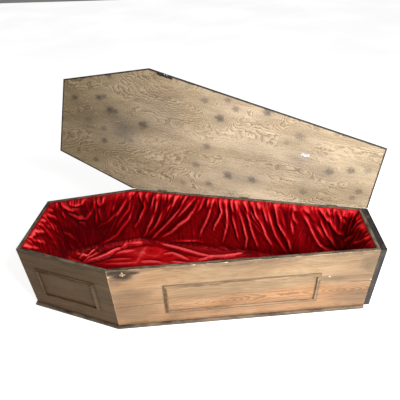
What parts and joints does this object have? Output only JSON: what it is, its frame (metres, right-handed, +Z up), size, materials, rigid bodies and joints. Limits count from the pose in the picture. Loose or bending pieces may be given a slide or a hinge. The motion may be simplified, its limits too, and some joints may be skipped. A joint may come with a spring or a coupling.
{
  "type": "wooden coffin with hinged lid",
  "caption": "Six-sided tapered wooden coffin on a projecting base board, with framed panels, a black foot block, a red cloth lining and a flat lid hinged along one long side, standing open.",
  "frame": {"origin": "middle of the base board's underside, half-way between the outer faces of the head and the foot", "axes": "+X from the head to the foot, -Y towards the side with the catch, +Y towards the hinged side, +Z up"},
  "size_m": [1.976, 1.0103, 1.1288],
  "materials": {
    "box_wood": "worn stain and varnish on wood with a strong grain, darker at the rim and edges",
    "strip_wood": "greyer stained wood strips",
    "base_wood": "dark grey-brown paint worn through at the rounded edge",
    "lid_wood": "knotty plywood face, stained and scuffed, dark at the edges",
    "black_paint": "dull black paint on wood",
    "red_lining": "shiny deep red cloth, gathered in folds",
    "hinge_iron": "blackened steel",
    "catch_metal": "pale worn metal",
    "catch_plate": "dark metal plate"
  },
  "bodies": {
    "box": {"base_board": "base_wood", "catch_keeper": "catch_metal", "far_shoulder_board": "box_wood", "far_shoulder_strip_bottom": "strip_wood", "far_shoulder_strip_end": "strip_wood", "far_shoulder_strip_start": "strip_wood", "far_shoulder_strip_top": "strip_wood", "far_side_board": "box_wood", "far_side_strip_bottom": "strip_wood", "far_side_strip_end": "strip_wood", "far_side_strip_start": "strip_wood", "far_side_strip_top": "strip_wood", "foot_block": "black_paint", "foot_board": "box_wood", "head_board": "box_wood", "head_strip_bottom": "strip_wood", "head_strip_end": "strip_wood", "head_strip_start": "strip_wood", "head_strip_top": "strip_wood", "hinge_1_box_leaf": "hinge_iron", "hinge_2_box_leaf": "hinge_iron", "hinge_3_box_leaf": "hinge_iron", "lining": "red_lining", "near_shoulder_board": "box_wood", "near_shoulder_strip_bottom": "strip_wood", "near_shoulder_strip_end": "strip_wood", "near_shoulder_strip_start": "strip_wood", "near_shoulder_strip_top": "strip_wood", "near_side_board": "box_wood", "near_side_strip_bottom": "strip_wood", "near_side_strip_end": "strip_wood", "near_side_strip_start": "strip_wood", "near_side_strip_top": "strip_wood"},
    "lid": {"hinge_1_lid_leaf": "hinge_iron", "hinge_2_lid_leaf": "hinge_iron", "hinge_3_lid_leaf": "hinge_iron", "lid": "lid_wood", "lid_catch": "catch_plate", "lid_plate": "catch_metal"}
  },
  "joints": [
    {"name": "lid_hinge", "type": "hinge", "parent": "box", "child": "lid", "pos_m": [0.24985, 0.26764, 0.43945], "axis": [0.9906, -0.1367, 0], "range_deg": [0, 108]}
  ]
}
